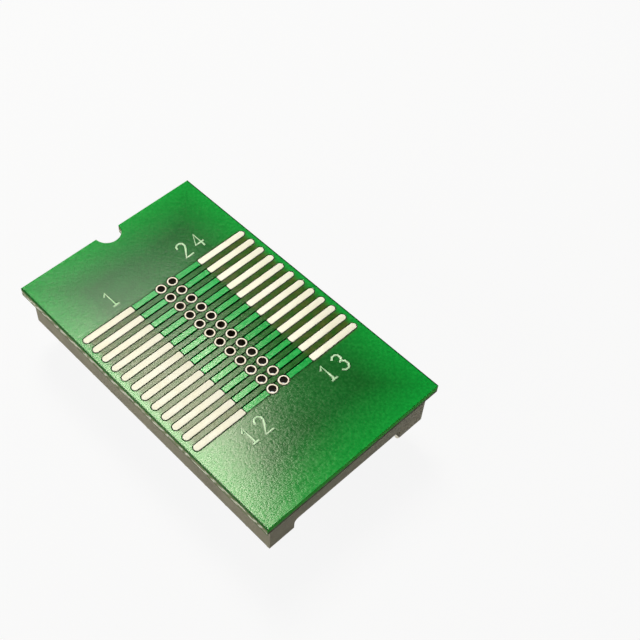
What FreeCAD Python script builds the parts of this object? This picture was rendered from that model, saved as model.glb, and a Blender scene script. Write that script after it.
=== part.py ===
import FreeCAD, Part
import math
import os
from FreeCAD import Vector

# Small-outline to dual-in-line adapter: a thin board on an open-frame header of turned pins.
#
# Units are millimetres. +Z is up, the component side of the board faces up and the pins point down.
# X runs across the two pin rows and +Y runs towards the notched end of the board. The origin is the
# middle of the seating plane, where the header's rails rest on the socket that the pins plug into.
# Pin 1 is at -X, +Y, and the numbers run down that row and back up the other one.

# Pin grid
pin_pitch = 2.54
row_spacing = 15.24
pins_per_row = 12

# Header moulding
rail_height = 2.75
rail_outer_margin = 1.18      # pin axis to the rail's outer long face
rail_inner_margin = 1.50      # pin axis to the rail's window face
rail_end_margin = 1.18        # last pin axis to the rail's end
low_step = 1.20               # how far the low parts of the end bars lie behind the seating plane
low_corner_radius = 0.45      # where a low part meets a rail or the ridge
inset_bar_setback = 1.13      # rail end to the outer face of the bar at the notched end
inset_bar_width = 1.73
inset_bar_low_length = 2.55   # length of the bar's low part, next to the pin 24 rail
flush_bar_width = 1.72        # bar at the unnotched end, level with the rails' ends
ridge_width = 0.75            # high inner part of the flush bar
ridge_low_length = 2.52       # ridge end to the pin 13 rail
cross_bar_width = 2.78
cross_bar_offset = 0.84       # middle of the cross bar, towards the unnotched end
cross_bar_recess = 1.00
cross_bar_thickness = 0.80
window_corner_radius = 0.40

# Turned pins
tail_diameter = 0.50
tail_length = 3.00            # below the seating plane
shoulder_diameter = 1.85
shoulder_thickness = 0.50
shoulder_sink = 0.10          # shoulder face behind the seating plane
barrel_diameter = 1.35
counterbore_clearance = 0.12  # radial, round the shoulder
barrel_clearance = 0.01       # radial, round the barrel

# Board
board_side_overhang = 0.725   # board edge beyond the rail's outer face
board_end_overhang = 0.40     # board edge beyond the rail's end
laminate_thickness = 0.85
mask_thickness = 0.07
copper_thickness = 0.035
board_standoff = 1.15         # rail to the board's underside
notch_radius = 1.27

# Chip lands, plated holes and tracks
chip_pitch = 1.27
pattern_shift = 0.29          # chip pattern towards the notched end
land_gap = 7.52               # between the inner ends of facing lands
land_rim = 0.495              # outer end of a land to the board's side edge
land_width = 0.62
land_thickness = 0.06
mask_clearance = 0.05         # mask opening round a land or a ring
via_spacing = 1.27            # between the two columns of plated holes
via_ring_diameter = 0.94
via_hole_diameter = 0.68
track_width = 0.50
pin_land_diameter = 1.90

# Solder
solder_film = 0.04            # between the pin's end and its land
solder_rise = 0.42            # height of the fillet up the pin
solder_land_margin = 0.04     # bare rim of the land outside the fillet

# Flats to a full turn. Only the tails, the notch and the moulding's corners are true rounds: the
# part has hundreds of small round edges, and they are kept light. Diameters are across corners.
shoulder_sides = 12
barrel_sides = 8
plated_sides = 8

# Heights and places worked out from the sizes above
rail_half_length = (pins_per_row - 1) * pin_pitch / 2 + rail_end_margin
rail_outer_x = row_spacing / 2 + rail_outer_margin
rail_inner_x = row_spacing / 2 - rail_inner_margin
board_half_width = rail_outer_x + board_side_overhang
board_half_length = rail_half_length + board_end_overhang
mask_bottom_z = rail_height + board_standoff
laminate_bottom_z = mask_bottom_z + mask_thickness
laminate_top_z = laminate_bottom_z + laminate_thickness
mask_top_z = laminate_top_z + mask_thickness
pin_land_bottom_z = laminate_bottom_z - copper_thickness
pin_top_z = pin_land_bottom_z - solder_film
shoulder_top_z = shoulder_sink + shoulder_thickness
land_inner_x = land_gap / 2
land_outer_x = board_half_width - land_rim


def box(x0, x1, y0, y1, z0, z1):
    """Block between opposite corners."""
    return Part.makeBox(x1 - x0, y1 - y0, z1 - z0, Vector(x0, y0, z0))


def polygon(points, z):
    """Flat face at height z inside (x, y) points in order."""
    corners = [Vector(x, y, z) for x, y in points]
    return Part.Face(Part.makePolygon(corners + corners[:1]))


def turn(diameter, sides, x, y, start=0.5, count=None):
    """Corners of a regular polygon in (x, y), or count of its sides counted from start."""
    last = sides if count is None else count + 1
    angles = [2 * math.pi * (start + k) / sides for k in range(last)]
    return [(x + diameter / 2 * math.cos(a), y + diameter / 2 * math.sin(a)) for a in angles]


def post(diameter, sides, x, y, z0, z1):
    """Upright prism that stands in for a small cylinder."""
    return polygon(turn(diameter, sides, x, y), z0).extrude(Vector(0, 0, z1 - z0))


def pin_places():
    """Pin axes in numbering order, down the -X row and back up the +X row."""
    first_y = (pins_per_row - 1) * pin_pitch / 2
    left = [(-row_spacing / 2, first_y - k * pin_pitch) for k in range(pins_per_row)]
    right = [(row_spacing / 2, y) for _, y in reversed(left)]
    return left + right


def chip_places():
    """Side (-1 or 1) and height along Y of each chip land, in the pins' order."""
    first_y = (pins_per_row - 1) * chip_pitch / 2 + pattern_shift
    left = [(-1, first_y - k * chip_pitch) for k in range(pins_per_row)]
    right = [(1, y) for _, y in reversed(left)]
    return left + right


def board_outline(z0, z1):
    """Board blank with the half-round notch in its +Y end."""
    blank = box(-board_half_width, board_half_width, -board_half_length, board_half_length, z0, z1)
    notch = Part.makeCylinder(notch_radius, z1 - z0, Vector(0, board_half_length, z0))
    return blank.cut(notch)


# Copper and its openings

def land_blank(side, y, grow, z0, z1):
    """Chip land: round outer end, square inner end. Grow widens it for its opening."""
    half = land_width / 2 + grow
    inner = land_inner_x - grow
    round_centre = land_outer_x - land_width / 2
    half_turn = plated_sides // 2
    outer_end = turn(2 * half, plated_sides, round_centre, 0, -half_turn / 2, half_turn)
    points = [(side * x, y + side * height)
              for x, height in [(inner, half), (inner, -half)] + outer_end]
    return polygon(points, z0).extrude(Vector(0, 0, z1 - z0))


def via_x(side):
    return side * via_spacing / 2


def strip(points, z0, z1):
    """Flat track of constant width along a polyline, with mitred corners."""
    half = track_width / 2
    left, right = [], []
    last = len(points) - 1
    for k, point in enumerate(points):
        before = (points[k] - points[k - 1]).normalize() if k > 0 else None
        after = (points[k + 1] - points[k]).normalize() if k < last else None
        way = (before or after) + (after or before)
        way.normalize()
        normal = Vector(-way.y, way.x, 0)
        reach = half / math.cos((before or after).getAngle(way))
        left.append(point + normal * reach)
        right.append(point - normal * reach)
    outline = [(corner.x, corner.y) for corner in left + right[::-1]]
    return polygon(outline, z0).extrude(Vector(0, 0, z1 - z0))


def top_track(side, y, z0, z1):
    """Straight track from a chip land's inner end to its plated hole."""
    start = Vector(side * land_inner_x, y, 0)
    end = Vector(via_x(side), y, 0)
    track = strip([start, end], z0, z1)
    return track.cut(post(via_ring_diameter, plated_sides, via_x(side), y, z0, z1))


def bottom_track(side, chip_y, pin_x, pin_y, z0, z1):
    """Track that fans out from a plated hole: straight across, then at 45 degrees to the pin land."""
    across = abs(pin_x) - via_spacing / 2
    along = pin_y - chip_y
    slant = min(across, abs(along))
    start = Vector(via_x(side), chip_y, 0)
    knee = start + Vector(side * (across - slant), 0, 0)
    end = knee + Vector(side * slant, math.copysign(slant, along), 0)
    points = [start, knee, end]
    if across - slant < track_width:
        points = [start, end]
    track = strip(points, z0, z1)
    return track.cut(post(via_ring_diameter, plated_sides, start.x, start.y, z0, z1))


def taper(low_diameter, high_diameter, sides, x, y, z0, z1):
    """Upright frustum that stands in for a small cone."""
    low = turn(low_diameter, sides, x, y)
    high = turn(high_diameter, sides, x, y)
    walls = []
    for k in range(sides):
        corners = [Vector(*low[k - 1], z0), Vector(*low[k], z0),
                   Vector(*high[k], z1), Vector(*high[k - 1], z1)]
        walls.append(Part.Face(Part.makePolygon(corners + corners[:1])))
    return Part.Solid(Part.Shell(walls + [polygon(low, z0), polygon(high, z1)]))


def pin_land(x, y, grow, z0, z1):
    return post(pin_land_diameter + 2 * grow, barrel_sides, x, y, z0, z1)


def plated_hole(side, y):
    """Copper lining of a hole through the laminate, that stands out as a ring on each face."""
    x = via_x(side)
    z0 = laminate_bottom_z - copper_thickness
    z1 = laminate_top_z + land_thickness
    lining = post(via_ring_diameter, plated_sides, x, y, z0, z1)
    return lining.cut(post(via_hole_diameter, plated_sides, x, y, z0, z1))


def make_bottom_copper(side, chip_y, pin_x, pin_y):
    """One track with the pin land it ends in."""
    z0, z1 = pin_land_bottom_z, laminate_bottom_z
    track = bottom_track(side, chip_y, pin_x, pin_y, z0, z1)
    return track.fuse(pin_land(pin_x, pin_y, 0, z0, z1)).removeSplitter()


def make_laminate():
    blank = board_outline(laminate_bottom_z, laminate_top_z)
    drills = [post(via_ring_diameter, plated_sides, via_x(side), y, laminate_bottom_z, laminate_top_z)
              for side, y in chip_places()]
    return blank.cut(drills)


def make_top_mask():
    """Top mask: open round the lands and rings, and hollow underneath where it covers a track."""
    z0, z1 = laminate_top_z, mask_top_z
    tools = []
    for side, y in chip_places():
        tools.append(land_blank(side, y, mask_clearance, z0, z1))
        tools.append(post(via_ring_diameter + 2 * mask_clearance, plated_sides, via_x(side), y, z0, z1))
        tools.append(strip([Vector(side * land_inner_x, y, 0), Vector(via_x(side), y, 0)],
                           z0, z0 + copper_thickness))
    return board_outline(z0, z1).cut(tools)


def make_bottom_mask():
    """Bottom mask: open round the pin lands and rings, and hollow above the tracks it covers."""
    z0, z1 = mask_bottom_z, laminate_bottom_z
    tools = []
    for (side, chip_y), (pin_x, pin_y) in zip(chip_places(), pin_places()):
        tools.append(pin_land(pin_x, pin_y, mask_clearance, z0, z1))
        tools.append(post(via_ring_diameter + 2 * mask_clearance, plated_sides,
                          via_x(side), chip_y, z0, z1))
        tools.append(bottom_track(side, chip_y, pin_x, pin_y, z1 - copper_thickness, z1))
    return board_outline(z0, z1).cut(tools)


# Header

def upright_edges_at(shape, corners):
    """Upright edges of a shape that stand at the given (x, y) corners."""
    found = []
    for edge in shape.Edges:
        first, last = edge.Vertexes[0].Point, edge.Vertexes[-1].Point
        if abs(first.x - last.x) > 1e-6 or abs(first.y - last.y) > 1e-6:
            continue
        if any(math.hypot(first.x - x, first.y - y) < 1e-4 for x, y in corners):
            found.append(edge)
    return found


def rounded_at(tool, points):
    """Tool with the edges that run through the given points rounded."""
    found = [edge for edge in tool.Edges
             if any(edge.distToShape(Part.Vertex(point))[0] < 1e-6 for point in points)]
    return tool.makeFillet(low_corner_radius, found)


def make_header():
    """Open frame: two drilled rails, an inset and a flush end bar, and a thin cross bar."""
    inset_outer_y = rail_half_length - inset_bar_setback
    inset_inner_y = inset_outer_y - inset_bar_width
    flush_inner_y = -rail_half_length + flush_bar_width
    cross_y0 = -cross_bar_offset - cross_bar_width / 2
    cross_y1 = -cross_bar_offset + cross_bar_width / 2

    left_rail = box(-rail_outer_x, -rail_inner_x, -rail_half_length, rail_half_length, 0, rail_height)
    right_rail = box(rail_inner_x, rail_outer_x, -rail_half_length, rail_half_length, 0, rail_height)
    inset_bar = box(-rail_inner_x, rail_inner_x, inset_inner_y, inset_outer_y, 0, rail_height)
    flush_bar = box(-rail_inner_x, rail_inner_x, -rail_half_length, flush_inner_y, 0, rail_height)
    cross_bar = box(-rail_inner_x, rail_inner_x, cross_y0, cross_y1,
                    cross_bar_recess, cross_bar_recess + cross_bar_thickness)
    frame = left_rail.fuse([right_rail, inset_bar, flush_bar]).removeSplitter()

    bar_corners = [(side * rail_inner_x, y) for side in (-1, 1)
                   for y in (inset_inner_y, inset_outer_y, flush_inner_y)]
    frame = frame.makeFillet(window_corner_radius, upright_edges_at(frame, bar_corners))

    # The low part of the inset bar, next to the pin 24 rail.
    inset_low = box(rail_inner_x - inset_bar_low_length, rail_inner_x,
                    inset_inner_y - window_corner_radius, inset_outer_y + window_corner_radius,
                    0, low_step)
    inset_low = rounded_at(inset_low, [Vector(rail_inner_x, inset_inner_y, low_step)])

    # The low part of the flush bar, next to the pin 13 rail, and the rebate that leaves a ridge.
    ridge_end_x = rail_inner_x - ridge_low_length
    ridge_outer_y = flush_inner_y - ridge_width
    flush_low = box(ridge_end_x, rail_inner_x,
                    -rail_half_length, flush_inner_y + window_corner_radius, 0, low_step)
    rebate = box(-rail_inner_x, ridge_end_x, -rail_half_length, ridge_outer_y, 0, low_step)
    rebate_middle_y = (ridge_outer_y - rail_half_length) / 2
    flush_low = rounded_at(flush_low.fuse(rebate).removeSplitter(),
                           [Vector(-rail_inner_x, rebate_middle_y, low_step),
                            Vector(0, ridge_outer_y, low_step),
                            Vector(rail_inner_x, rebate_middle_y, low_step)])
    frame = frame.cut([inset_low, flush_low])

    # The cross bar, with rounded corners where it runs into the rails.
    cross_corners = [(side * rail_inner_x, y) for side in (-1, 1) for y in (cross_y0, cross_y1)]
    frame = frame.fuse(cross_bar).removeSplitter()
    frame = frame.makeFillet(window_corner_radius, upright_edges_at(frame, cross_corners))

    # Stepped holes: a counterbore for each shoulder and a bore for each barrel.
    holes = []
    for x, y in pin_places():
        holes.append(post(shoulder_diameter + 2 * counterbore_clearance, shoulder_sides,
                          x, y, 0, shoulder_top_z))
        holes.append(post(barrel_diameter + 2 * barrel_clearance, barrel_sides,
                          x, y, shoulder_top_z, rail_height))
    return frame.cut(holes)


# Pins and solder

def make_pin(x, y):
    """Turned pin: tail, shoulder seated in the rail, and a barrel up to the board."""
    tail = Part.makeCylinder(tail_diameter / 2, tail_length + shoulder_sink, Vector(x, y, -tail_length))
    shoulder = post(shoulder_diameter, shoulder_sides, x, y, shoulder_sink, shoulder_top_z)
    barrel = post(barrel_diameter, barrel_sides, x, y, shoulder_top_z, pin_top_z)
    return tail.fuse([shoulder, barrel])


def make_solder_joint(x, y):
    """Solder round the end of a pin: a film over its end face and a fillet up its barrel."""
    waist_z = pin_land_bottom_z - solder_rise
    land = pin_land_diameter - 2 * solder_land_margin
    fillet = taper(barrel_diameter, land, barrel_sides, x, y, waist_z, pin_land_bottom_z)
    return fillet.cut(post(barrel_diameter, barrel_sides, x, y, waist_z, pin_top_z))


def export(name, solids):
    shape = solids[0] if len(solids) == 1 else Part.makeCompound(solids)
    shape.exportStep(os.path.join("parts", name + ".step"))


def main():
    os.makedirs("parts", exist_ok=True)
    pins = pin_places()
    chips = chip_places()

    export("board_laminate", [make_laminate()])
    export("solder_mask_top", [make_top_mask()])
    export("solder_mask_bottom", [make_bottom_mask()])
    export("chip_lands", [land_blank(side, y, 0, laminate_top_z, laminate_top_z + land_thickness)
                          for side, y in chips])
    export("top_tracks", [top_track(side, y, laminate_top_z, laminate_top_z + copper_thickness)
                          for side, y in chips])
    export("plated_holes", [plated_hole(side, y) for side, y in chips])
    export("bottom_tracks", [make_bottom_copper(side, chip_y, pin_x, pin_y)
                             for (side, chip_y), (pin_x, pin_y) in zip(chips, pins)])
    export("solder_joints", [make_solder_joint(x, y) for x, y in pins])
    export("header_frame", [make_header()])
    for number, (x, y) in enumerate(pins, 1):
        export("pin_%02d" % number, [make_pin(x, y)])


main()
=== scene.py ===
import math
import random

import bmesh
import bpy
from mathutils import Matrix, Vector


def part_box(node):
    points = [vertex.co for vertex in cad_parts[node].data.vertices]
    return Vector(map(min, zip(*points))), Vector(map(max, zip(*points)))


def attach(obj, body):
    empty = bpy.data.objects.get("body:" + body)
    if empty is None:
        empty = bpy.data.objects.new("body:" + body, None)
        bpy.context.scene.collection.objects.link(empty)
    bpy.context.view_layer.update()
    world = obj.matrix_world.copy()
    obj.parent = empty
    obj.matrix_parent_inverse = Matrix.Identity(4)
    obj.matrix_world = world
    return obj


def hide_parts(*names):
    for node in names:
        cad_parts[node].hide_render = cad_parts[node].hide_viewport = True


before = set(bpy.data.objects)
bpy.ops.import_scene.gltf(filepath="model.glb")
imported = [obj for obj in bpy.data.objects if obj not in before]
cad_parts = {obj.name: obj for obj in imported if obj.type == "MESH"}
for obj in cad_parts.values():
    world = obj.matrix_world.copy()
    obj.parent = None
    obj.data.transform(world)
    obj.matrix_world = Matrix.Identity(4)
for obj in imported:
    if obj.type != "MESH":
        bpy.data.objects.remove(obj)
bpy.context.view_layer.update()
print("frame loaded:", len(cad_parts), "nodes")

# Shapes are drawn in millimetres, and each mesh is scaled to metres when it is finished.
# Lengths inside the finishes are in metres, and so are the lamps' places.
milli = 0.001
dice = random.Random(24)
noiseSpread = (0.3, 0.7)      # most of a noise's values lie between these


def nodeBox(node):
    low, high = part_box(node)
    return low / milli, high / milli


def paint(red, green, blue):
    # screen colour 0 to 255 to the colour that the shader wants
    def straighten(value):
        value /= 255
        return value / 12.92 if value <= 0.04045 else ((value + 0.055) / 1.055) ** 2.4
    return (straighten(red), straighten(green), straighten(blue), 1)


# places that every piece shares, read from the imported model

laminateLow, laminateHigh = nodeBox("board_laminate")
maskTopLow, maskTopHigh = nodeBox("solder_mask_top")
maskUnderLow, maskUnderHigh = nodeBox("solder_mask_bottom")
landsLow, landsHigh = nodeBox("chip_lands")
platedLow, platedHigh = nodeBox("plated_holes")
solderLow, solderHigh = nodeBox("solder_joints")
headerHigh = nodeBox("header_frame")[1]
pinTop = nodeBox("pin_01")[1].z

pinCount = 24
perSide = pinCount // 2
pinNames = ["pin_%02d" % number for number in range(1, pinCount + 1)]
pinPlaces = []
for pinName in pinNames:
    low, high = nodeBox(pinName)
    pinPlaces.append(((low.x + high.x) / 2, (low.y + high.y) / 2))

pattern = {
    "landWidth": 0.62,
    "landInner": 3.76,      # inner end of a land from the middle line
    "landCorner": 0.14,     # rounding of that end; the outer end is a half circle
    "endSteps": 16, "cornerSteps": 6,
    "viaColumn": 0.635,     # plated holes from the middle line
    "ring": 0.47,           # radius of a plated hole's ring
    "hole": 0.34,           # radius of the hole in it
    "trackWidth": 0.50,
    "pinLand": 0.95,        # radius
    "opening": 0.085,       # bare gap between copper and mask
    "trackGap": 0.02,       # a track under the board stops this far from a ring or pin land
    "mitreLimit": 0.5,      # keeps the corner of a sharp bend short
}
landOuter = landsHigh.x
firstLandY = landsHigh.y - pattern["landWidth"] / 2
lastLandY = landsLow.y + pattern["landWidth"] / 2
landYs = [firstLandY + (lastLandY - firstLandY) * k / (perSide - 1) for k in range(perSide)]
chipPlaces = [(-1, y) for y in landYs] + [(1, y) for y in reversed(landYs)]
viaPlaces = [(side * pattern["viaColumn"], y) for side, y in chipPlaces]


# making meshes

meshing = {
    "rimSteps": 2,          # rounding of a flat piece's rim
    "flatWeld": 0.0008,     # points closer than this become one, in flat and in turned pieces
    "turnedWeld": 0.0005,
}


def arcPoints(centreX, centreY, radius, startDegrees, endDegrees, steps=8):
    turn = endDegrees - startDegrees
    angles = [math.radians(startDegrees + turn * k / steps) for k in range(steps + 1)]
    return [(centreX + radius * math.cos(a), centreY + radius * math.sin(a)) for a in angles]


def circle(centreX, centreY, radius, steps=40):
    return arcPoints(centreX, centreY, radius, 0, 360, steps)[:-1]


def finishMesh(mesh, sharpDegrees=14):
    # millimetres to metres, with smooth faces up to the given angle
    mesh.transform(Matrix.Scale(milli, 4))
    mesh.shade_smooth()
    mesh.set_sharp_from_angle(angle=math.radians(sharpDegrees))
    mesh.update()
    return mesh


def meshFromCurve(name, lines, closed, **settings):
    # makes a mesh from a curve that runs straight from point to point of each line
    curve = bpy.data.curves.new(name, "CURVE")
    for key, value in settings.items():
        setattr(curve, key, value)
    for line in lines:
        spline = curve.splines.new("POLY")
        spline.points.add(len(line) - 1)
        for point, (x, y) in zip(spline.points, line):
            point.co = (x, y, 0, 1)
        spline.use_cyclic_u = closed
    holder = bpy.data.objects.new(name, curve)
    mesh = bpy.data.meshes.new_from_object(holder)
    bpy.data.objects.remove(holder)
    bpy.data.curves.remove(curve)
    mesh.name = name
    return mesh


def flatMesh(name, loops, low, high, rim):
    # fills outlines that may have holes, and gives them thickness and a rounded rim
    mesh = meshFromCurve(name, loops, True, dimensions="2D", fill_mode="BOTH", offset=-rim,
                         extrude=(high - low) / 2 - rim, bevel_depth=rim,
                         bevel_resolution=meshing["rimSteps"])
    weld = bmesh.new()
    weld.from_mesh(mesh)
    bmesh.ops.remove_doubles(weld, verts=weld.verts, dist=meshing["flatWeld"])
    bmesh.ops.recalc_face_normals(weld, faces=weld.faces)
    weld.to_mesh(mesh)
    weld.free()
    mesh.transform(Matrix.Translation((0, 0, (low + high) / 2)))
    return mesh


def meshFromBuild(name, build):
    bmesh.ops.recalc_face_normals(build, faces=build.faces)
    mesh = bpy.data.meshes.new(name)
    build.to_mesh(mesh)
    build.free()
    return mesh


def turnedMesh(name, profiles, places, steps=48):
    # turns a (radius, height) profile round each place; a closed profile ends where it starts
    build = bmesh.new()
    for number, (placeX, placeY) in enumerate(places):
        rings = []
        for radius, height in profiles[number % len(profiles)]:
            around = circle(placeX, placeY, radius, steps) if radius else [(placeX, placeY)]
            rings.append([build.verts.new((x, y, height)) for x, y in around])
        for lower, upper in zip(rings, rings[1:]):
            for k in range(steps):
                corners = [lower[k % len(lower)], lower[(k + 1) % len(lower)],
                           upper[(k + 1) % len(upper)], upper[k % len(upper)]]
                build.faces.new(list(dict.fromkeys(corners)))
    bmesh.ops.remove_doubles(build, verts=build.verts, dist=meshing["turnedWeld"])
    return meshFromBuild(name, build)


def prismMesh(name, points, start, length, alongX=False):
    # solid with the outline (along, z), run along Y, or along X
    build = bmesh.new()
    corners = [(start, along, z) if alongX else (along, start, z) for along, z in points]
    face = build.faces.new([build.verts.new(corner) for corner in corners])
    grown = bmesh.ops.extrude_face_region(build, geom=[face])["geom"]
    moved = [part for part in grown if isinstance(part, bmesh.types.BMVert)]
    way = (length, 0, 0) if alongX else (0, length, 0)
    bmesh.ops.translate(build, vec=way, verts=moved)
    return meshFromBuild(name, build)


def withModifier(mesh, kind, **settings):
    # gives back the mesh as the modifier leaves it
    holder = bpy.data.objects.new(mesh.name, mesh)
    bpy.context.scene.collection.objects.link(holder)
    modifier = holder.modifiers.new(kind, kind)
    for key, value in settings.items():
        setattr(modifier, key, value)
    ready = holder.evaluated_get(bpy.context.evaluated_depsgraph_get())
    result = bpy.data.meshes.new_from_object(ready)
    bpy.data.objects.remove(holder)
    return result


def cutMesh(mesh, cutter, operation="DIFFERENCE"):
    tool = bpy.data.objects.new("cutter", cutter)
    bpy.context.scene.collection.objects.link(tool)
    result = withModifier(mesh, "BOOLEAN", object=tool, operation=operation, solver="EXACT")
    bpy.data.objects.remove(tool)
    return result


def addPiece(name, mesh, materials, nodes, place=(0, 0, 0)):
    piece = bpy.data.objects.new(name, mesh)
    piece.location = Vector(place) * milli
    bpy.context.scene.collection.objects.link(piece)
    if not mesh.materials:      # the pins share one mesh
        for material in materials:
            mesh.materials.append(material)
    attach(piece, "root")
    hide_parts(*nodes)


# shader nodes, and groups that several finishes share

def addNode(tree, kind, **settings):
    node = tree.nodes.new(kind)
    for key, value in settings.items():
        setattr(node, key, value)
    return node


def feed(tree, socket, value):
    # sets a socket to a number or colour, or links it to another node's output
    if isinstance(value, (int, float, tuple)):
        socket.default_value = value
    elif value is not None:
        tree.links.new(value, socket)


def mathNode(tree, operation, first, second=None, third=None):
    node = addNode(tree, "ShaderNodeMath", operation=operation)
    for socket, value in zip(node.inputs, (first, second, third)):
        feed(tree, socket, value)
    return node.outputs[0]


def rangeNode(tree, value, fromLow, fromHigh, toLow, toHigh):
    node = addNode(tree, "ShaderNodeMapRange")
    for key, number in (("Value", value), ("From Min", fromLow), ("From Max", fromHigh),
                        ("To Min", toLow), ("To Max", toHigh)):
        feed(tree, node.inputs[key], number)
    return node.outputs["Result"]


def mixColours(tree, factor, first, second, blend="MIX"):
    node = addNode(tree, "ShaderNodeMix", data_type="RGBA", blend_type=blend)
    for key, value in (("Factor", factor), ("A", first), ("B", second)):
        feed(tree, node.inputs[key], value)
    return node.outputs["Result"]


def ownPlace(tree):
    # a point's place in the piece's own metres, whole and split into X, Y and Z
    where = addNode(tree, "ShaderNodeTexCoord").outputs["Object"]
    split = addNode(tree, "ShaderNodeSeparateXYZ")
    tree.links.new(where, split.inputs[0])
    return where, split.outputs


def noiseNode(tree, where, scale, detail=2):
    noise = addNode(tree, "ShaderNodeTexNoise")
    for key, value in (("Vector", where), ("Scale", scale), ("Detail", detail)):
        feed(tree, noise.inputs[key], value)
    return noise.outputs["Fac"]


def newGroup(name, inputs, outputs):
    group = bpy.data.node_groups.new(name, "ShaderNodeTree")
    for label, kind, value in inputs:
        socket = group.interface.new_socket(name=label, in_out="INPUT", socket_type=kind)
        socket.default_value = value
    for label, kind in outputs:
        group.interface.new_socket(name=label, in_out="OUTPUT", socket_type=kind)
    start = group.nodes.new("NodeGroupInput").outputs
    end = group.nodes.new("NodeGroupOutput").inputs
    return group, start, end


def makeGrainGroup():
    # fine uneven grain: a shade from 0 to 1, and a normal
    group, start, end = newGroup(
        "fineGrain",
        [("Scale", "NodeSocketFloat", 4000.0), ("Relief", "NodeSocketFloat", 0.1),
         ("Depth", "NodeSocketFloat", 0.00001)],
        [("Shade", "NodeSocketFloat"), ("Normal", "NodeSocketVector")])
    noise = noiseNode(group, ownPlace(group)[0], start["Scale"], detail=3)
    bump = addNode(group, "ShaderNodeBump")
    for key, value in (("Height", noise), ("Strength", start["Relief"]),
                       ("Distance", start["Depth"])):
        group.links.new(value, bump.inputs[key])
    group.links.new(noise, end["Shade"])
    group.links.new(bump.outputs["Normal"], end["Normal"])
    return group


cloth = {
    "pitch": 0.00062,       # from one thread to the next one the same way
    "wander": 900,          # scale of the noise that bends the threads
    "bend": 3.0,            # how far it bends them, in radians of the weave
}


def makeClothGroup():
    # woven glass cloth under the surface: bright where a thread crosses on top
    group, start, end = newGroup("glassCloth", [("Pitch", "NodeSocketFloat", cloth["pitch"])],
                                 [("Threads", "NodeSocketFloat")])
    where, split = ownPlace(group)
    wander = noiseNode(group, where, cloth["wander"])
    turn = mathNode(group, "DIVIDE", 2 * math.pi, start["Pitch"])
    waves = []
    for axis in ("X", "Y"):
        angle = mathNode(group, "MULTIPLY", split[axis], turn)
        angle = mathNode(group, "MULTIPLY_ADD", wander, cloth["bend"], angle)
        waves.append(mathNode(group, "SINE", angle))
    crossing = mathNode(group, "MULTIPLY", waves[0], waves[1])
    group.links.new(mathNode(group, "MULTIPLY_ADD", crossing, 0.5, 0.5), end["Threads"])
    return group


def makeCloudyGroup():
    # slow cloudy change between two colours
    group, start, end = newGroup(
        "cloudy",
        [("Scale", "NodeSocketFloat", 200.0), ("First", "NodeSocketColor", (0, 0, 0, 1)),
         ("Second", "NodeSocketColor", (1, 1, 1, 1))],
        [("Color", "NodeSocketColor")])
    noise = noiseNode(group, ownPlace(group)[0], start["Scale"], detail=4)
    steep = rangeNode(group, noise, *noiseSpread, 0, 1)
    group.links.new(mixColours(group, steep, start["First"], start["Second"]), end["Color"])
    return group


grainGroup = makeGrainGroup()
clothGroup = makeClothGroup()
cloudyGroup = makeCloudyGroup()


def newMaterial(name, **values):
    # values are the shader's own, the same all over the surface
    material = bpy.data.materials.new(name)
    material.use_nodes = True
    shader = material.node_tree.nodes["Principled BSDF"]
    for key, value in values.items():
        shader.inputs[key].default_value = value
    return material, material.node_tree, shader


def placeGroup(tree, group, **values):
    node = addNode(tree, "ShaderNodeGroup", node_tree=group)
    for key, value in values.items():
        node.inputs[key].default_value = value
    return node.outputs


def cloudColour(tree, scale, colours):
    return placeGroup(tree, cloudyGroup, Scale=scale, First=colours[0], Second=colours[1])["Color"]


def addGrain(tree, shader, look):
    # gives the shader its fine relief, and gives back the grain's shade
    grain = placeGroup(tree, grainGroup, Scale=look["grain"], Relief=look["relief"],
                       Depth=look["depth"])
    tree.links.new(grain["Normal"], shader.inputs["Normal"])
    return grain["Shade"]


# metals and mouldings: cloudy colour, grainy roughness and fine relief

def plainFinish(name, look):
    material, tree, shader = newMaterial(name, **{"Metallic": look["metallic"],
                                                  "Specular IOR Level": look["specular"]})
    shade = addGrain(tree, shader, look)
    roughness = rangeNode(tree, shade, *noiseSpread, *look["roughness"])
    colour = cloudColour(tree, look["cloud"], look["colours"])
    tree.links.new(colour, shader.inputs["Base Color"])
    tree.links.new(roughness, shader.inputs["Roughness"])
    return material


tinMaterial = plainFinish("tinnedLand", {
    "cloud": 600, "colours": (paint(243, 240, 214), paint(250, 248, 230)),
    "grain": 5000, "relief": 0.25, "depth": 0.00001,
    "roughness": (0.42, 0.56), "metallic": 0.0, "specular": 0.12})
ringMaterial = plainFinish("tinnedRing", {
    "cloud": 1800, "colours": (paint(246, 232, 206), paint(254, 248, 230)),
    "grain": 6000, "relief": 0.25, "depth": 0.00001,
    "roughness": (0.4, 0.55), "metallic": 0.0, "specular": 0.12})
# painted shade: the hole walls are dark brown, for the shade inside the narrow holes
liningShadeMaterial = plainFinish("holeLiningShade", {
    "cloud": 1500, "colours": (paint(44, 34, 20), paint(70, 52, 30)),
    "grain": 5000, "relief": 0.4, "depth": 0.00002,
    "roughness": (0.45, 0.65), "metallic": 0.2, "specular": 0.12})
copperMaterial = plainFinish("bareCopper", {
    "cloud": 1500, "colours": (paint(150, 96, 62), paint(178, 122, 82)),
    "grain": 5000, "relief": 0.3, "depth": 0.00001,
    "roughness": (0.32, 0.5), "metallic": 0.85, "specular": 0.5})
solderMaterial = plainFinish("solderFillet", {
    "cloud": 1100, "colours": (paint(186, 184, 176), paint(214, 212, 204)),
    "grain": 4200, "relief": 0.3, "depth": 0.00002,
    "roughness": (0.2, 0.38), "metallic": 0.9, "specular": 0.5})
pinMaterial = plainFinish("turnedPin", {
    "cloud": 900, "colours": (paint(206, 200, 180), paint(226, 221, 204)),
    "grain": 5200, "relief": 0.2, "depth": 0.00001,
    "roughness": (0.22, 0.38), "metallic": 0.85, "specular": 0.5})
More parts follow.
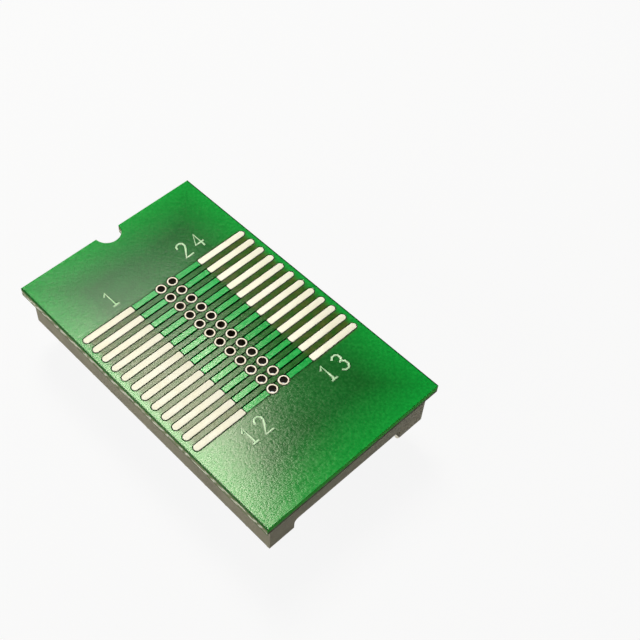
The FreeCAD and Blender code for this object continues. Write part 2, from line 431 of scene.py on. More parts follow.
mouldingMaterial = plainFinish("moulding", {
    "cloud": 420, "colours": (paint(131, 126, 105), paint(150, 144, 120)),
    "grain": 5200, "relief": 0.55, "depth": 0.00003,
    "roughness": (0.5, 0.66), "metallic": 0.0, "specular": 0.2})


# solder mask: clear green lacquer over the glass cloth, greener where it covers copper

maskLook = {
    "open": (paint(0, 98, 26), paint(2, 110, 34)),          # over bare laminate
    "overCopper": (paint(0, 166, 62), paint(8, 184, 80)),
    # painted highlight: the numbers are copper under the mask, coloured far lighter than the
    # mask-over-copper green
    "number": (paint(176, 226, 170), paint(216, 244, 204)),
    # painted shade: a dark line to either side of each number's strokes
    "numberShadeLine": (paint(0, 58, 14), paint(0, 70, 20)),
    "cloud": 260,
    "threads": (0.95, 1.03),            # how much the glass cloth dims and lights the colour
    "specks": (0.84, 1.12),             # how much the grain does
    "grain": 4600, "relief": 0.32, "depth": 0.00002,
    "roughness": (0.11, 0.19),
    "specular": 0.3,
    "ior": 1.2,
}

# what the component side's mask has besides: a bright rim, a duller zone round the lands and
# tracks, painted shade beside each track, and a dark line along the long edges
zoneLook = {
    "rim": paint(0, 158, 52),           # brighter towards the board's edges
    "rimWidth": 0.0042,
    "half": (0.0088, 0.0073),           # half size of the zone with the lands and tracks
    "edge": 0.0003,                     # its border fades in over this, to either side
    "betweenTracks": (paint(0, 90, 4), paint(14, 104, 24)),
    "betweenLands": (paint(34, 90, 14), paint(76, 92, 32)),
    "cloud": 1500,
    "shine": 0.72,                      # the zone is duller than the open board
    # colour of the painted shade beside the tracks, and of the dark line along the long edges
    "line": paint(0, 24, 4),
    "trackShadeLine": (0.00025, 0.00039),    # painted shade beside each track, from the track's middle line
    "lineEdge": 0.00003,                # its fading
    "thinRim": 0.00009,                 # dark line along the board's long edges
    "thinRimStrength": 0.8,
    "endEdge": 0.00004,                 # fading of that line, and of the others at the lands
}


def paintZone(tree, colour):
    # the component side's colour, and its shine, over the mask's open colour
    place = ownPlace(tree)[1]
    halfX, halfY = zoneLook["half"]
    edge, lineEdge = zoneLook["edge"], zoneLook["lineEdge"]
    middleY = (landsLow.y + landsHigh.y) / 2 * milli
    landsStart = pattern["landInner"] * milli
    pitch = (landYs[0] - landYs[1]) * milli
    acrossX = mathNode(tree, "ABSOLUTE", place["X"])
    fromY = mathNode(tree, "ABSOLUTE", mathNode(tree, "SUBTRACT", place["Y"], middleY))
    insideX = rangeNode(tree, acrossX, halfX - edge, halfX + edge, 1, 0)
    insideY = rangeNode(tree, fromY, halfY - edge, halfY + edge, 1, 0)
    inside = mathNode(tree, "MULTIPLY", insideX, insideY)

    edgeX = mathNode(tree, "SUBTRACT", laminateHigh.x * milli, acrossX)
    edgeY = mathNode(tree, "SUBTRACT", laminateHigh.y * milli,
                     mathNode(tree, "ABSOLUTE", place["Y"]))
    nearest = mathNode(tree, "MINIMUM", edgeX, edgeY)
    nearEdge = rangeNode(tree, nearest, 0, zoneLook["rimWidth"], 1, 0)
    colour = mixColours(tree, nearEdge, colour, zoneLook["rim"])

    tracksCloud = cloudColour(tree, zoneLook["cloud"], zoneLook["betweenTracks"])
    landsCloud = cloudColour(tree, zoneLook["cloud"], zoneLook["betweenLands"])
    amongLands = rangeNode(tree, acrossX, landsStart - edge, landsStart + edge, 0, 1)
    between = mixColours(tree, amongLands, tracksCloud, landsCloud)
    colour = mixColours(tree, inside, colour, between)

    # painted shade beside each track, and a dark line along the long edges; neither has the mask's
    # shine
    nearLine, farLine = zoneLook["trackShadeLine"]
    thinRim, endEdge = zoneLook["thinRim"], zoneLook["endEdge"]
    fromTrack = mathNode(tree, "SUBTRACT", fromY, pitch / 2)
    fromTrack = mathNode(tree, "PINGPONG", fromTrack, pitch / 2)
    line = mathNode(tree, "MULTIPLY",
                    rangeNode(tree, fromTrack, nearLine, nearLine + lineEdge, 0, 1),
                    rangeNode(tree, fromTrack, farLine, farLine + lineEdge, 1, 0))
    line = mathNode(tree, "MULTIPLY", line,
                    rangeNode(tree, acrossX, landsStart, landsStart + endEdge, 1, 0))
    line = mathNode(tree, "MULTIPLY", line, inside)
    rimLine = rangeNode(tree, edgeX, thinRim, thinRim + endEdge,
                        zoneLook["thinRimStrength"], 0)
    line = mathNode(tree, "MAXIMUM", line, rimLine)
    colour = mixColours(tree, line, colour, zoneLook["line"])

    shine = mathNode(tree, "MULTIPLY", rangeNode(tree, line, 0, 1, maskLook["specular"], 0),
                     rangeNode(tree, inside, 0, 1, 1, zoneLook["shine"]))
    return colour, shine


def makeMask(name, colours, withZone=False):
    material, tree, shader = newMaterial(name, **{"Specular IOR Level": maskLook["specular"],
                                                  "IOR": maskLook["ior"]})
    colour = cloudColour(tree, maskLook["cloud"], colours)
    if withZone:
        colour, shine = paintZone(tree, colour)
        tree.links.new(shine, shader.inputs["Specular IOR Level"])
    shade = addGrain(tree, shader, maskLook)
    threads = placeGroup(tree, clothGroup)["Threads"]
    threads = rangeNode(tree, threads, 0, 1, *maskLook["threads"])
    specks = rangeNode(tree, shade, *noiseSpread, *maskLook["specks"])
    dimming = mathNode(tree, "MULTIPLY", threads, specks)
    colour = mixColours(tree, 1.0, colour, dimming, "MULTIPLY")
    roughness = rangeNode(tree, shade, *noiseSpread, *maskLook["roughness"])
    tree.links.new(colour, shader.inputs["Base Color"])
    tree.links.new(roughness, shader.inputs["Roughness"])
    return material


maskMaterial = makeMask("greenMask", maskLook["open"], withZone=True)
underMaskMaterial = makeMask("greenMaskUnder", maskLook["open"])
trackMaterial = makeMask("greenMaskOverCopper", maskLook["overCopper"])
numberHighlightMaterial = makeMask("raisedNumberHighlight", maskLook["number"])
numberShadeMaterial = makeMask("numberShadeLine", maskLook["numberShadeLine"])


# laminate: pale resin with cut glass bundles along the long sides. The sawn ends carry painted
# shade in a darker brown resin, and a green painted brighter to outweigh that shade.

laminateLook = {
    "glass": paint(240, 240, 216),
    "greenShare": 0.9,              # how fully the mask's green covers the cut edge's top
    "greenEdge": 0.08,              # its fading, as a share of the thickness to either side
    "cloud": 900,
    "layers": (0.24, 0.50),         # heights of the two rows of bundles, as shares
    "layerHalf": (0.06, 0.15),      # full glass up to the first, none beyond the second
    "layerShift": 2.0,              # second row against the first, in radians
    "bundle": 0.00135,              # spacing of the cut glass bundles along the edge
    "bundleEdge": (-0.5, 0.5),      # of the wave that parts them
    "bundleGap": 0.15,              # glass left between two bundles
    "wander": 520,                  # scale of the noise that spaces the bundles unevenly
    "wanderTurn": 16.0,             # how unevenly, in radians
    "ragged": 3800,                 # scale of the noise that makes borders ragged
    "raggedReach": 0.22,            # share of the thickness
    "grain": 6000, "relief": 0.6, "depth": 0.00003,
    "roughness": (0.62, 0.34),      # resin and glass
    "specular": 0.1,
}
# resin's two colours, how white its bundles are, and from what height the mask's green shows
laminateFaces = {
    "laminateSide": {"resin": (paint(92, 104, 62), paint(126, 130, 88)), "glass": 1.0,
                     "greenFrom": 0.80, "green": paint(0, 120, 22)},
    # painted shade: the ends face away from the lamps, so their resin is dark brown; their green
    # is painted brighter than the sides' to outweigh it
    "laminateShadedEnd": {"resin": (paint(14, 62, 8), paint(66, 34, 14)), "glass": 0.1,
                    "greenFrom": 0.34, "green": paint(0, 172, 8)},
    # bare between copper and mask, where the height of the green is out of reach; its near black
    # is painted shade of the narrow gaps round the lands and rings
    "laminateGapShade": {"resin": (paint(6, 18, 4), paint(16, 30, 10)), "glass": 0.0,
                     "greenFrom": 2.0, "green": paint(0, 120, 22)},
}


def makeLaminate(name, face):
    look = laminateLook
    material, tree, shader = newMaterial(name, **{"Specular IOR Level": look["specular"]})
    where, place = ownPlace(tree)
    wander = noiseNode(tree, where, look["wander"])
    ragged = noiseNode(tree, where, look["ragged"])
    height = rangeNode(tree, place["Z"], laminateLow.z * milli, laminateHigh.z * milli, 0, 1)
    height = mathNode(tree, "SUBTRACT", height, look["raggedReach"] / 2)
    height = mathNode(tree, "MULTIPLY_ADD", ragged, look["raggedReach"], height)
    along = mathNode(tree, "ADD", place["X"], place["Y"])
    rows = []
    for row, middle in enumerate(look["layers"]):
        fromRow = mathNode(tree, "ABSOLUTE", mathNode(tree, "SUBTRACT", height, middle))
        inRow = rangeNode(tree, fromRow, *look["layerHalf"], 1, 0)
        turn = mathNode(tree, "MULTIPLY_ADD", along, 2 * math.pi / look["bundle"],
                        look["layerShift"] * row)
        turn = mathNode(tree, "MULTIPLY_ADD", wander, look["wanderTurn"], turn)
        wave = mathNode(tree, "SINE", turn)
        bundle = rangeNode(tree, wave, *look["bundleEdge"], look["bundleGap"], 1)
        rows.append(mathNode(tree, "MULTIPLY", inRow, bundle))
    glass = mathNode(tree, "MULTIPLY", mathNode(tree, "MAXIMUM", *rows), face["glass"])
    greenEdge = look["greenEdge"]
    green = rangeNode(tree, height, face["greenFrom"] - greenEdge,
                      face["greenFrom"] + greenEdge, 0, look["greenShare"])
    resin = cloudColour(tree, look["cloud"], face["resin"])
    colour = mixColours(tree, glass, resin, look["glass"])
    colour = mixColours(tree, green, colour, face["green"])
    addGrain(tree, shader, look)
    roughness = rangeNode(tree, glass, 0, 1, *look["roughness"])
    tree.links.new(colour, shader.inputs["Base Color"])
    tree.links.new(roughness, shader.inputs["Roughness"])
    return material


laminateMaterials = [makeLaminate(name, face) for name, face in laminateFaces.items()]
print("finishes made")


# board

board = {
    "notch": 1.27,          # radius
    "notchSteps": 36,
    "edge": 0.015,          # rounding of the laminate's edges
    "ringOver": 0.04,       # a plated hole's ring reaches this far over the laminate's hole
    "flatFrom": 0.8,        # a face looks up or down where its normal's Z is more than this
    "endFrom": 0.6,         # and is at a sawn end where the normal's Y is more than this
}


def boardLoop():
    halfX, halfY = laminateHigh.x, laminateHigh.y
    notch = arcPoints(0, halfY, board["notch"], 360, 180, board["notchSteps"])
    return [(halfX, -halfY), (halfX, halfY)] + notch + [(-halfX, halfY), (-halfX, -halfY)]


def landLoop(side, y, grow):
    half = pattern["landWidth"] / 2 + grow
    inner = pattern["landInner"] - grow
    corner = pattern["landCorner"] + grow
    endSteps, cornerSteps = pattern["endSteps"], pattern["cornerSteps"]
    outer = arcPoints(landOuter - pattern["landWidth"] / 2, 0, half, -90, 90, endSteps)
    upper = arcPoints(inner + corner, half - corner, corner, 90, 180, cornerSteps)
    lower = arcPoints(inner + corner, -half + corner, corner, 180, 270, cornerSteps)
    return [(side * px, y + side * py) for px, py in outer + upper + lower]


def stripLoop(points, width):
    # outline of a flat strip along a line of points, with mitred corners
    left, right = [], []
    for k, point in enumerate(points):
        ways = [(points[k] - points[k - 1]).normalized()] if k else []
        if k + 1 < len(points):
            ways.append((points[k + 1] - points[k]).normalized())
        way = sum(ways, Vector((0, 0))).normalized()
        reach = width / 2 / max(way.dot(ways[0]), pattern["mitreLimit"])
        side = Vector((-way.y, way.x)) * reach
        left.append(tuple(point + side))
        right.append(tuple(point - side))
    return left + right[::-1]


def underTrack(side, chipY, pinX, pinY):
    # straight across from the hole, then at 45 degrees to the pin land; stops short of both
    column, gap = pattern["viaColumn"], pattern["trackGap"]
    across = abs(pinX) - column
    along = pinY - chipY
    slant = min(across, abs(along))
    start = Vector((side * column, chipY))
    knee = start + Vector((side * (across - slant), 0))
    end = knee + Vector((side * slant, math.copysign(slant, along)))
    points = [start, knee, end] if across - slant > pattern["trackWidth"] else [start, end]
    points[0] = start + (points[1] - start).normalized() * (pattern["ring"] + gap)
    points[-1] = end - (end - points[-2]).normalized() * (pattern["pinLand"] + gap)
    return points


drillRadius = pattern["ring"] - board["ringOver"]
laminateMesh = flatMesh("boardLaminate",
                        [boardLoop()] + [circle(x, y, drillRadius) for x, y in viaPlaces],
                        laminateLow.z, laminateHigh.z, board["edge"])
finishMesh(laminateMesh)
for face in laminateMesh.polygons:      # 0 side, 1 sawn end, 2 upper and lower face
    if abs(face.normal.z) > board["flatFrom"]:
        face.material_index = 2
    else:
        face.material_index = 1 if abs(face.normal.y) > board["endFrom"] else 0
addPiece("boardLaminate", laminateMesh, laminateMaterials, ["board_laminate"])

coat = {
    "relief": 0.04,         # tracks and numbers stand this far out of the top mask
    "underRelief": 0.022,   # and the tracks out of the one below
    "rim": 0.02,            # rounding of the mask's edges
    "root": 0.03,           # tracks start this far inside the mask
    "overlap": 0.01,        # and run this far past the border of the holes' openings
}
opening = pattern["opening"]
stripWidth = pattern["trackWidth"] + 2 * coat["rim"]

openings = [landLoop(side, y, opening) for side, y in chipPlaces]
openings += [circle(x, y, pattern["ring"] + opening) for x, y in viaPlaces]
topFace = maskTopHigh.z - coat["relief"]
maskTopMesh = flatMesh("maskTop", [boardLoop()] + openings, maskTopLow.z, topFace, coat["rim"])
addPiece("maskTop", finishMesh(maskTopMesh), [maskMaterial], ["solder_mask_top"])

underOpenings = [circle(x, y, pattern["pinLand"] + opening) for x, y in pinPlaces]
underOpenings += [circle(x, y, pattern["ring"] + opening) for x, y in viaPlaces]
underFace = maskUnderLow.z + coat["underRelief"]
maskUnderMesh = flatMesh("maskUnder", [boardLoop()] + underOpenings,
                         underFace, maskUnderHigh.z, coat["rim"])
addPiece("maskUnder", finishMesh(maskUnderMesh), [underMaskMaterial],
         ["solder_mask_bottom"])

topStrips = []
for side, y in chipPlaces:
    start = Vector((side * (pattern["landInner"] - opening), y))
    endX = pattern["viaColumn"] + pattern["ring"] + opening - coat["overlap"]
    topStrips.append(stripLoop([start, Vector((side * endX, y))], stripWidth))
topTrackMesh = flatMesh("tracksTop", topStrips, topFace - coat["root"], maskTopHigh.z,
                        coat["rim"])
addPiece("tracksTop", finishMesh(topTrackMesh), [trackMaterial], ["top_tracks"])

underStrips = [stripLoop(underTrack(side, chipY, pinX, pinY), stripWidth)
               for (side, chipY), (pinX, pinY) in zip(chipPlaces, pinPlaces)]
underTrackMesh = flatMesh("tracksUnder", underStrips, maskUnderLow.z,
                          underFace + coat["root"], coat["rim"])
addPiece("tracksUnder", finishMesh(underTrackMesh), [trackMaterial], ["bottom_tracks"])
print("board and mask made")


# pin numbers, raised in the copper under the mask; their strokes are coloured with a painted
# highlight, with painted shade to either side

numbers = {
    "strokes": {
        "1": [[(0.22, 1.45), (0.58, 1.9), (0.58, 0)], [(0.2, 0), (0.95, 0)]],
        "2": [[(0.05, 1.4), (0.12, 1.72), (0.36, 1.9), (0.68, 1.9), (0.92, 1.7),
               (0.94, 1.34), (0.7, 0.92), (0.05, 0), (1.0, 0)]],
        "3": [[(0.05, 1.6), (0.3, 1.88), (0.68, 1.9), (0.92, 1.68), (0.92, 1.3),
               (0.72, 1.06), (0.42, 1.02)],
              [(0.72, 1.06), (0.98, 0.78), (0.98, 0.32), (0.72, 0.03), (0.3, 0.02),
               (0.05, 0.3)]],
        "4": [[(0.74, 0), (0.74, 1.9), (0.02, 0.62), (1.05, 0.62)]],
    },
    # number, and its middle across and along
    "labels": [("1", -4.62, 9.4), ("24", 4.5, 9.3), ("12", -4.3, -8.63), ("13", 4.51, -8.59)],
    "advance": 1.56,        # from one digit to the next
    "height": 1.9,          # of the strokes as drawn
    "size": 0.88,           # shrinks them
    "width": 0.2,           # of a stroke
    "edge": 0.07,           # width of the painted shade line to either side of it
    "shadeLineRelief": 0.012,
    "steps": 3,             # rounding of a stroke
    "sharp": 50,            # degrees
}


def numberMesh(name, width, relief):
    size, advance = numbers["size"], numbers["advance"]
    lines = []
    for text, centreX, centreY in numbers["labels"]:
        startX = centreX - (advance * (len(text) - 1) + size) / 2
        startY = centreY - numbers["height"] * size / 2
        for place, digit in enumerate(text):
            for stroke in numbers["strokes"][digit]:
                lines.append([(startX + place * advance + x * size, startY + y * size)
                              for x, y in stroke])
    mesh = meshFromCurve(name, lines, False, dimensions="3D", bevel_depth=width / 2,
                         bevel_resolution=numbers["steps"], use_fill_caps=True)
    flatten = Matrix.Diagonal((1, 1, 2 * relief / width, 1))
    mesh.transform(Matrix.Translation((0, 0, topFace)) @ flatten)
    return finishMesh(mesh, numbers["sharp"])


# strokes in a near-white green, which is painted highlight
strokeMesh = numberMesh("pinNumbers", numbers["width"], coat["relief"])
addPiece("pinNumbers", strokeMesh, [numberHighlightMaterial], ["top_tracks"])
# a painted shade line round the strokes, wider and lower than they are
numberShadeMesh = numberMesh("numberShadeLines", numbers["width"] + 2 * numbers["edge"],
                      numbers["shadeLineRelief"])
addPiece("numberShadeLines", numberShadeMesh, [numberShadeMaterial], ["top_tracks"])


# lands, plated holes and solder

land = {"edge": 0.028, "sharp": 60}     # rounding, and degrees

landMesh = flatMesh("chipLands", [landLoop(side, y, 0) for side, y in chipPlaces],
                    laminateHigh.z, landsHigh.z, land["edge"])
addPiece("chipLands", finishMesh(landMesh, land["sharp"]), [tinMaterial],
         ["chip_lands"])

plated = {
    "lip": 0.02,            # rounding of a ring's outer edge and of the hole's mouth
    "part": 0.3,            # share of the lip where the upper edge's rounding has a corner
    "mouth": (0.15, 0.5),   # shares of the lip that the upper mouth opens to
    "lining": 0.012,        # faces this close to the hole's wall are its lining
}
ring, hole, lip = pattern["ring"], pattern["hole"], plated["lip"]
bend = lip * plated["part"]
firstMouth, lastMouth = (lip * share for share in plated["mouth"])
ringProfile = [
    (ring, platedLow.z + lip), (ring - lip, platedLow.z),
    (hole + lip, platedLow.z), (hole, platedLow.z + lip),
    (hole, platedHigh.z - lip), (hole + firstMouth, platedHigh.z - bend),
    (hole + lastMouth, platedHigh.z), (ring - lip, platedHigh.z),
    (ring - bend, platedHigh.z - bend), (ring, platedHigh.z - lip),
    (ring, platedLow.z + lip)]
platedMesh = finishMesh(turnedMesh("platedHoles", [ringProfile], viaPlaces))
for face in platedMesh.polygons:
    x, y = face.center.x / milli, face.center.y / milli
    fromHole = min(math.hypot(x - viaX, y - viaY) for viaX, viaY in viaPlaces)
    if fromHole < hole + plated["lining"]:
        face.material_index = 1
addPiece("platedHoles", platedMesh, [ringMaterial, liningShadeMaterial],
         ["plated_holes"])

pinLand = pattern["pinLand"]
pinLandProfile = [(0, laminateLow.z), (pinLand, laminateLow.z), (pinLand, solderHigh.z),
                  (0, solderHigh.z)]
pinLandMesh = turnedMesh("pinLands", [pinLandProfile], pinPlaces)
addPiece("pinLands", finishMesh(pinLandMesh), [copperMaterial], ["bottom_tracks"])

solder = {
    "barrel": 0.675, "foot": 0.91,      # radii at the pin and on its land
    "rim": 0.03,                        # height of the foot's edge
    "uneven": 0.12,                     # a joint may be lower than full height by this share
    "footUneven": 0.04,                 # and its foot smaller by this
    "steps": 6,
}
solderProfiles = []
for pinName in pinNames:
    rise = (solderHigh.z - solderLow.z) * (1 - solder["uneven"] * dice.random())
    foot = solder["foot"] - solder["footUneven"] * dice.random()
    profile = [(0, solderHigh.z), (foot, solderHigh.z)]
    for k in range(solder["steps"] + 1):      # hollow fillet from the land up to the barrel
        turn = math.radians(90 * k / solder["steps"])
        radius = foot - (foot - solder["barrel"]) * math.sin(turn)
        drop = solder["rim"] + (rise - solder["rim"]) * (1 - math.cos(turn))
        profile.append((radius, solderHigh.z - drop))
    profile.append((0, solderHigh.z - rise))
    solderProfiles.append(profile)
solderMesh = turnedMesh("solderFillets", solderProfiles, pinPlaces)
addPiece("solderFillets", finishMesh(solderMesh), [solderMaterial],
         ["solder_joints"])
print("lands, plated holes and solder made")


# header moulding

header = {
    "railInner": 6.12,      # from the middle line to a rail's inner side
    # from the middle to the bar at the notched end, and the width of its low part
    "insetOuter": 14.02, "insetInner": 12.29, "insetLow": 2.55,
    # the same at the other end, where the bar is level with the rails and has a ridge
    "flushInner": 13.43, "ridge": 0.75, "ridgeLow": 2.52,
    "foot": 0.45,           # rounding where a low part's floor meets a rail or the ridge
    "crossMiddle": 0.84,    # from the middle, away from the notch
    "crossWidth": 2.78, "crossLow": 1.0, "crossHigh": 1.8,
    "step": 1.2,            # height of the low parts' floor
    "corner": 0.4,          # rounding where bars meet rails
    "edge": 0.07,           # rounding of every edge, in so many steps
    "edgeSteps": 3,
    "edgeFrom": 40,         # degrees between faces from which an edge is rounded
    "sharp": 30,            # degrees
    "counterbore": 1.045, "bore": 0.685, "counterboreDeep": 0.6,
    "barRoot": 0.5,         # the cross bar reaches this far into the rails
    "margin": 0.3,          # cutting shapes reach this far past the moulding
    # The rebate is cut where two shapes overlap. One runs from this far inside a rail to this
    # far past the ridge's end, and the other ends this far short of the other rail.
    "sideMargin": 1, "overlap": 0.02, "sideShort": 0.2,
}


def windowLoop(halfX, lowY, highY, corner):
    right, left, upper, lower = halfX - corner, -halfX + corner, highY - corner, lowY + corner
    loop = []
    for centreX, centreY, start in ((right, upper, 0), (left, upper, 90), (left, lower, 180),
                                    (right, lower, 270)):
        loop += arcPoints(centreX, centreY, corner, start, start + 90)
    return loop


def crossBarLoop(inner, corner):
    # runs into both rails, and widens in a round corner where it meets them
    root = inner + header["barRoot"]
    high = -header["crossMiddle"] + header["crossWidth"] / 2 + corner
    low = -header["crossMiddle"] - header["crossWidth"] / 2 - corner
    loop = [(-root, low), (-root, high)]
    loop += arcPoints(-inner + corner, high, corner, 180, 270)
    loop += arcPoints(inner - corner, high, corner, 270, 360)
    loop += [(root, high), (root, low)]
    loop += arcPoints(inner - corner, low, corner, 0, 90)
    loop += arcPoints(-inner + corner, low, corner, 90, 180)
    return loop


def lowProfile(start, end):
    # space below a low part, from start to end, with its top rounded at the end
    step, foot, margin = header["step"], header["foot"], header["margin"]
    centre = end - foot if end > start else end + foot
    turn = 90 if end > start else -90
    arc = arcPoints(centre, step - foot, foot, 90, 90 - turn)
    return [(start, -margin), (start, step)] + arc + [(end, -margin)]


def makeHeaderMesh():
    railOuter, railEnd, top = headerHigh.x, headerHigh.y, headerHigh.z
    inner, corner, margin = header["railInner"], header["corner"], header["margin"]
    insetOuter, insetInner = header["insetOuter"], header["insetInner"]
    flushInner = header["flushInner"]
    outline = [(-railOuter, railEnd), (-railOuter, -railEnd), (railOuter, -railEnd),
               (railOuter, railEnd), (inner, railEnd)]
    outline += arcPoints(inner - corner, insetOuter + corner, corner, 360, 270)
    outline += arcPoints(-inner + corner, insetOuter + corner, corner, 270, 180)
    outline += [(-inner, railEnd)]
    window = windowLoop(inner, -flushInner, insetInner, corner)
    mesh = flatMesh("header", [outline, window], 0, top, 0)
    barMesh = flatMesh("crossBar", [crossBarLoop(inner, corner)], header["crossLow"],
                       header["crossHigh"], 0)
    mesh = cutMesh(mesh, barMesh, "UNION")

    # the low parts of the end bars, each rounded where its floor meets a rail or the ridge
    insetLow = lowProfile(inner - header["insetLow"], inner)
    mesh = cutMesh(mesh, prismMesh("insetLow", insetLow, insetInner - corner,
                                   insetOuter - insetInner + 2 * corner))
    ridgeEnd = inner - header["ridgeLow"]
    ridgeOuter = -flushInner - header["ridge"]
    outer = -railEnd - margin
    mesh = cutMesh(mesh, prismMesh("flushLow", lowProfile(ridgeEnd, inner), outer,
                                   -flushInner + corner - outer))
    sideMargin = header["sideMargin"]
    across = lowProfile(inner - header["sideShort"], -inner)
    along = lowProfile(outer, ridgeOuter)
    rebate = cutMesh(prismMesh("rebate", across, outer, ridgeOuter - outer),
                     prismMesh("rebateFoot", along, -inner - sideMargin,
                               ridgeEnd + header["overlap"] + inner + sideMargin, alongX=True),
                     "INTERSECT")
    mesh = cutMesh(mesh, rebate)

    deep, wide, narrow = header["counterboreDeep"], header["counterbore"], header["bore"]
    drill = [(0, -margin), (wide, -margin), (wide, deep), (narrow, deep),
             (narrow, top + margin), (0, top + margin)]
    mesh = cutMesh(mesh, turnedMesh("drills", [drill], pinPlaces))
    return withModifier(mesh, "BEVEL", width=header["edge"], segments=header["edgeSteps"],
                        limit_method="ANGLE", angle_limit=math.radians(header["edgeFrom"]))


addPiece("headerFrame", finishMesh(makeHeaderMesh(), header["sharp"]), [mouldingMaterial],
         ["header_frame"])
print("header made")


# turned pins

pin = {
    "tail": 0.25, "tip": -3.0,              # radius, and the height of its end
    "tipRound": 0.16, "tipSteps": 8,
    "tailTop": -0.03, "tailFlare": 0.03,    # height from which it widens, and by how much
    "hub": 0.475,                           # radius, with rounded lower edge and foot
    "hubRound": 0.03, "hubLow": 0.02, "hubSide": 0.05, "hubTop": 0.09, "hubFoot": 0.02,
    "shoulder": 0.925, "sink": 0.1, "shoulderTop": 0.6,
    "shoulderRound": (0.09, 0.03),          # width of its lower edge's rounding, and its bend
    "barrel": 0.675, "barrelRound": 0.1,
}

tailTip = []
for k in range(pin["tipSteps"] + 1):
    turn = math.radians(90 * k / pin["tipSteps"])
    tailTip.append((pin["tail"] * math.sin(turn),
                    pin["tip"] + pin["tipRound"] * (1 - math.cos(turn))))
hub, sink, shoulder, barrel = pin["hub"], pin["sink"], pin["shoulder"], pin["barrel"]
wideRound, smallRound = pin["shoulderRound"]
pinProfile = tailTip + [
    (pin["tail"], pin["tailTop"]), (pin["tail"] + pin["tailFlare"], 0),
    (hub - pin["hubRound"], pin["hubLow"]), (hub, pin["hubSide"]), (hub, pin["hubTop"]),
    (hub + pin["hubFoot"], sink), (shoulder - wideRound, sink),
    (shoulder - smallRound, sink + smallRound), (shoulder, sink + wideRound),
    (shoulder, pin["shoulderTop"]), (barrel, pin["shoulderTop"]),
    (barrel, pinTop - pin["barrelRound"]), (barrel - pin["barrelRound"], pinTop), (0, pinTop)]
pinMesh = finishMesh(turnedMesh("turnedPin", [pinProfile], [(0, 0)]))
for pinName, (x, y) in zip(pinNames, pinPlaces):
    addPiece(pinName.replace("pin_", "turnedPin"), pinMesh, [pinMaterial], [pinName],
             (x, y, 0))
print("pins made")


# floor, light and camera

studio = {
    "floorHalf": 0.6,
    "floorShade": 0.56,
    "floorWarmth": 0.99,        # blue against red and green, in its clouds
    "floorCloud": 8,
    "floorGlow": 0.90,          # how far the floor shows white to the eye and to reflections
    "floorRoughness": 0.9, "floorSpecular": 0.1,
    "sky": 0.12,                # strength of the light from all round
}
# a lamp with onlyReflected shows in reflections and lights nothing else
lamps = {
    "keyPanel": {"spot": (0.049, 0.096, 0.205), "aim": (0.020, 0.050, 0.0),
                 "size": (0.056, 0.116), "watts": 0.43, "colour": (1.0, 0.98, 0.92),
                 "onlyReflected": False},
    "glarePanel": {"spot": (0.046, 0.084, 0.206), "aim": (0.018, 0.040, 0.0),
                   "size": (0.062, 0.088), "watts": 1.35, "colour": (1.0, 0.96, 0.74),
                   "onlyReflected": True},
    "sidePanel": {"spot": (-0.26, 0.05, 0.10), "aim": (0.0, 0.0, 0.0),
                  "size": (0.16, 0.12), "watts": 0.28, "colour": (1.0, 1.0, 1.0),
                  "onlyReflected": False},
}


def turnTowards(spot, aim):
    return (Vector(aim) - Vector(spot)).to_track_quat("-Z", "Y")


def seenRay(tree):
    # 1 where the eye, a reflection or clear stuff looks at the backdrop, 0 where it gives light
    path = addNode(tree, "ShaderNodeLightPath")
    seen = mathNode(tree, "MAXIMUM", path.outputs["Is Camera Ray"], path.outputs["Is Glossy Ray"])
    return mathNode(tree, "MAXIMUM", seen, path.outputs["Is Transmission Ray"])


def mixShaders(tree, factor, first, second):
    blend = addNode(tree, "ShaderNodeMixShader")
    for socket, value in zip(blend.inputs, (factor, first.outputs[0], second.outputs[0])):
        tree.links.new(value, socket)
    return blend


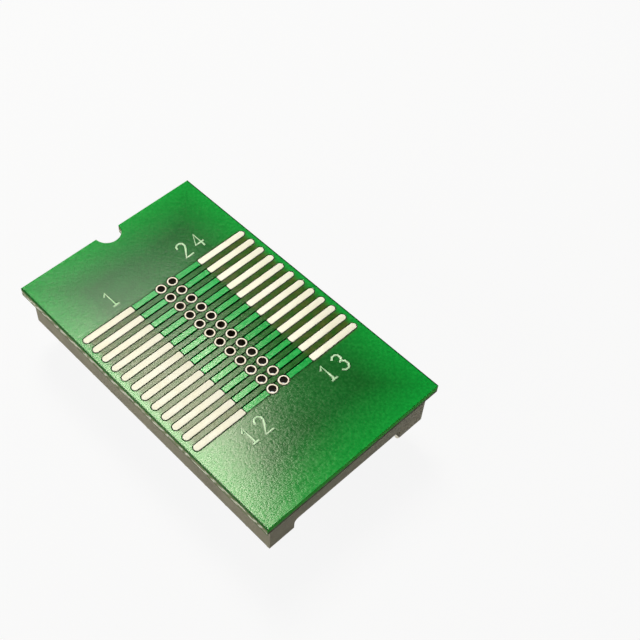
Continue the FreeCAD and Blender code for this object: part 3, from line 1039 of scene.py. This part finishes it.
def addFloor():
    half, shade = studio["floorHalf"], studio["floorShade"]
    mesh = bpy.data.meshes.new("floor")
    corners = [(-half, -half, 0), (half, -half, 0), (half, half, 0), (-half, half, 0)]
    mesh.from_pydata(corners, [], [(0, 1, 2, 3)])
    floor = bpy.data.objects.new("floor", mesh)
    floor.location = (0, 0, pin["tip"] * milli)
    bpy.context.scene.collection.objects.link(floor)
    finish = {"Roughness": studio["floorRoughness"], "Specular IOR Level": studio["floorSpecular"]}
    material, tree, shader = newMaterial("floorPaper", **finish)
    paper = ((shade, shade, shade, 1), (shade, shade, shade * studio["floorWarmth"], 1))
    tree.links.new(cloudColour(tree, studio["floorCloud"], paper), shader.inputs["Base Color"])
    glow = addNode(tree, "ShaderNodeEmission")
    glow.inputs["Color"].default_value = (1, 1, 1, 1)
    seen = mathNode(tree, "MULTIPLY", seenRay(tree), studio["floorGlow"])
    surface = mixShaders(tree, seen, shader, glow)
    clear = addNode(tree, "ShaderNodeBsdfTransparent")      # open from below
    geometry = addNode(tree, "ShaderNodeNewGeometry")
    surface = mixShaders(tree, geometry.outputs["Backfacing"], surface, clear)
    tree.links.new(surface.outputs[0], tree.nodes["Material Output"].inputs["Surface"])
    mesh.materials.append(material)


def addLamp(name, look):
    lamp = bpy.data.lights.new(name, "AREA")
    lamp.shape = "RECTANGLE"
    lamp.size, lamp.size_y = look["size"]
    lamp.energy = look["watts"]
    lamp.color = look["colour"]
    holder = bpy.data.objects.new(name, lamp)
    holder.location = look["spot"]
    holder.visible_diffuse = not look["onlyReflected"]
    holder.rotation_euler = turnTowards(look["spot"], look["aim"]).to_euler()
    bpy.context.scene.collection.objects.link(holder)


addFloor()
for lampName, lampLook in lamps.items():
    addLamp(lampName, lampLook)

world = bpy.data.worlds.new("studio")
world.use_nodes = True
bpy.context.scene.world = world
sky = world.node_tree.nodes["Background"]
sky.inputs["Color"].default_value = (1, 1, 1, 1)
strength = mathNode(world.node_tree, "MULTIPLY_ADD", seenRay(world.node_tree),
                    1 - studio["sky"], studio["sky"])
world.node_tree.links.new(strength, sky.inputs["Strength"])

view = {
    "spot": (-36.092, -41.641, 80.548),     # millimetres
    "aim": (1.144, -0.401, 4.89),
    "roll": -0.35,                          # degrees
    "lens": 62.84,
    "shift": (0.131, 0.0163),
    "nearest": 0.001,                       # metres
}
cameraData = bpy.data.cameras.new("camera")
cameraData.lens = view["lens"]
cameraData.shift_x, cameraData.shift_y = view["shift"]
cameraData.clip_start = view["nearest"]
camera = bpy.data.objects.new("camera", cameraData)
camera.location = Vector(view["spot"]) * milli
look = turnTowards(view["spot"], view["aim"]).to_matrix().to_4x4()
camera.rotation_euler = (look @ Matrix.Rotation(math.radians(view["roll"]), 4, "Z")).to_euler()
bpy.context.scene.collection.objects.link(camera)
bpy.context.scene.camera = camera
bpy.context.scene.view_settings.view_transform = "Standard"
print("studio set")
